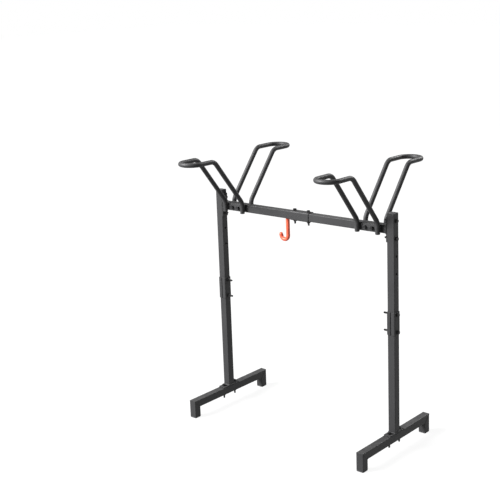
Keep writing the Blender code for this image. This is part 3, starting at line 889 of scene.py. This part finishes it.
def make_hook():
    """Dipped J-shaped bar with rounded ends, and the threaded end that turns with it."""
    radius = HOOK_BAR / 2
    start = BAR_BOTTOM - HOOK_DROP + radius + HOOK_RADIUS
    curve = arc((-HOOK_RADIUS, start), HOOK_RADIUS, 0, -(pi - HOOK_LIP_ANGLE))
    lip = Vector((-sin(HOOK_LIP_ANGLE), cos(HOOK_LIP_ANGLE)))
    tip = Vector(curve[-1]) + lip * HOOK_LIP
    line = [(0, HOOK_TOP - fall) for fall, share in HOOK_SHOULDER]
    radii = [radius * share for fall, share in HOOK_SHOULDER]
    shaft_top = line[-1][1]
    line += [(0, shaft_top + (start - shaft_top) * step / SHAFT_STEPS)
             for step in range(1, SHAFT_STEPS)]
    line += curve + [tuple(tip)]
    radii += [radius] * (len(line) - len(radii))
    for step in range(1, TIP_STEPS + 1):
        angle = pi / 2 * step / (TIP_STEPS + 0.6)
        line.append(tuple(tip + lip * sin(angle) * radius))
        radii.append(radius * cos(angle))
    path = [Vector((HOOK_X + x, 0, z)) for x, z in line]
    piece("hook_dipped_bar", [sweep(path, radii, HOOK_SIDES)], RED, "hook", "hook_swivel",
          sharp=HOOK_SHARP)
    place = axes(Vector((HOOK_X, 0, HOOK_TOP - THREAD_ROOT)), X, Y)
    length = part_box("hook")[1].z - HOOK_TOP + THREAD_ROOT
    rings = turned_rings([(SHANK / 2, 0), (SHANK / 2, 0.003)], place)
    rings += thread(0.0035, length, place)
    rings += turned_rings([(THREAD_TIP, length)], place)
    piece("hook_threaded_end", [loft(rings)], STEEL, body="hook_swivel")


def make_insert():
    """Flanged bush in the crossbar's bottom wall."""
    low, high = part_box("hook_insert")
    place = axes(Vector((HOOK_X, 0, low.z)), X, Y)
    outer = (high.x - low.x) / 2
    barrel = outer - INSERT_LEDGE
    flange = BAR_BOTTOM - SEAT - low.z
    height = high.z - low.z
    profile = [(INSERT_BORE + 0.0003, 0), (outer - 0.0004, 0), (outer - 0.0001, 0.0001),
               (outer, 0.0004), (outer - 0.0001, flange - 0.0002), (outer - 0.0003, flange),
               (barrel, flange), (barrel, height - 0.0005), (barrel - 0.0005, height),
               (INSERT_BORE + 0.0005, height), (INSERT_BORE, height - 0.0005),
               (INSERT_BORE, 0.0004)]
    piece("hook_insert_turned", [loft(turned_rings(profile, place), closed=True)], STEEL,
          "hook_insert")


# The whole stand, with each fastener's hexagon turned by its own angle
for label, sign in SIDES.items():
    make_rail(label, sign)
    for end_label in ENDS:
        make_foot_cap("foot_cap_%s_%s" % (label, end_label), "base_rail_" + label)
    make_top_plug("top_plug_" + label)
    make_lower(label, sign)
    make_upper(label, sign)
    sleeve_low, sleeve_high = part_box("upright_sleeve_" + label)
    make_sleeve("upright_sleeve_" + label, axes(Vector((sign * UPRIGHT_X, 0, 0)), X, Y),
                sleeve_low.z, sleeve_high.z)
    make_crossbar(label, sign)
    for end_label, end_sign in ENDS.items():
        make_arm("cradle_arm_%s_%s" % (label, end_label), end_sign)
        fasten("base", "%s_%s" % (label, end_label), -Z, 0.3 + sign * 0.2 + end_sign * 0.31)
    for row, offset in (("lower", 0.1), ("upper", 0.47)):
        fasten("sleeve", "%s_%s" % (label, row), -X * sign, offset + sign * 0.12)
        fasten("end", "%s_%s" % (label, row), -X * sign, 0.25 - offset + sign * 0.3)
    for row, offset in (("inner", 0.15), ("outer", 0.62)):
        fasten("cradle", "%s_%s" % (label, row), Y, offset + sign * 0.21)
    fasten("crossbar", label, -Z, 0.4 + sign * 0.17)
sleeve_low, sleeve_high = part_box("crossbar_sleeve")
make_sleeve("crossbar_sleeve", axes(Vector((0, 0, BAR_Z)), Z, -Y), -sleeve_high.x,
            -sleeve_low.x)
make_hook()
make_insert()

# Floor: pale, and a little brighter far away, so that it ends without a horizon
FLOOR_HALF = 30.0
FLOOR_GLOW = (0.89, 0.985)
GLOW_FROM, GLOW_TO = 1.0, 8.0
floor_corners = [(x * FLOOR_HALF, y * FLOOR_HALF, 0)
                 for x, y in ((-1, -1), (1, -1), (1, 1), (-1, 1))]
floor_mesh = bpy.data.meshes.new("floor")
floor_mesh.from_pydata(floor_corners, [], [(0, 1, 2, 3)])
floor = put_in_scene("floor", floor_mesh)
ground = Finish("pale_floor")
far = ground.add("VectorMath", {"operation": "LENGTH"}, Vector=ground.place)
floor_colour = ground.blend(ground.spread(ground.noise(3, 3), 0, 1),
                            (0.038, 0.038, 0.038, 1), (0.042, 0.042, 0.042, 1))
floor_glow = ground.spread(far.outputs["Value"], *FLOOR_GLOW, GLOW_FROM, GLOW_TO)
ground.set(Base_Color=floor_colour, Roughness=0.9, Specular_IOR_Level=0.1,
           Emission_Color=(1, 1, 1, 1), Emission_Strength=floor_glow)
floor_mesh.materials.append(ground.material)

# Surroundings: white round the horizon and grey overhead
SKY_FADE = {"From Min": 0.04, "From Max": 0.24, "To Min": 1.0, "To Max": 0.35}
world = bpy.data.worlds.new("studio")
world.use_nodes = True
sky = world.node_tree
view_ray = sky.nodes.new("ShaderNodeTexCoord").outputs["Generated"]
split = sky.nodes.new("ShaderNodeSeparateXYZ")
sky.links.new(view_ray, split.inputs[0])
fade = sky.nodes.new("ShaderNodeMapRange")
fade.interpolation_type = "SMOOTHSTEP"
for socket_name, number in SKY_FADE.items():
    fade.inputs[socket_name].default_value = number
sky.links.new(split.outputs["Z"], fade.inputs["Value"])
sky.links.new(fade.outputs["Result"], sky.nodes["Background"].inputs["Strength"])
sky.nodes["Background"].inputs["Color"].default_value = (1, 1, 1, 1)
bpy.context.scene.world = world
bpy.context.scene.view_settings.view_transform = "Standard"


def softbox(name, place, target, side, power):
    light = bpy.data.lights.new(name, "AREA")
    light.shape = "RECTANGLE"
    light.size = light.size_y = side
    light.energy = power
    obj = put_in_scene(name, light)
    obj.location = place
    aim = Vector(target) - Vector(place)
    obj.rotation_euler = aim.to_track_quat("-Z", "Y").to_euler()


softbox("key", (-3.35, -4.4, 4.5), (0, 0, 0.8), 3.2, 3050)
softbox("back", (1.0, 4.8, 4.4), (0, 0, 0.7), 2.4, 500)

# Camera fitted to the edges of the tubes in the photograph
EYE = (2.6145, -3.2659, 1.8361)
YAW, PITCH, ROLL = 0.6958, 0.2146, -0.0302
FOCAL = 1063.0
ACROSS, DOWN = 30.0, -40.0
FRAME_PIXELS = 500
SENSOR = 36.0
forward = Vector((-sin(YAW) * cos(PITCH), cos(YAW) * cos(PITCH), -sin(PITCH)))
level = Vector((cos(YAW), sin(YAW), 0))
above = level.cross(forward)
right = level * cos(ROLL) + above * sin(ROLL)
up = above * cos(ROLL) - level * sin(ROLL)
camera_data = bpy.data.cameras.new("camera")
camera_data.sensor_width = SENSOR
camera_data.lens = FOCAL / FRAME_PIXELS * SENSOR
camera_data.shift_x = -ACROSS / FRAME_PIXELS
camera_data.shift_y = DOWN / FRAME_PIXELS
camera = put_in_scene("camera", camera_data)
camera_place = Matrix((right, up, -forward)).transposed().to_4x4()
camera_place.translation = EYE
camera.matrix_world = camera_place
bpy.context.scene.camera = camera
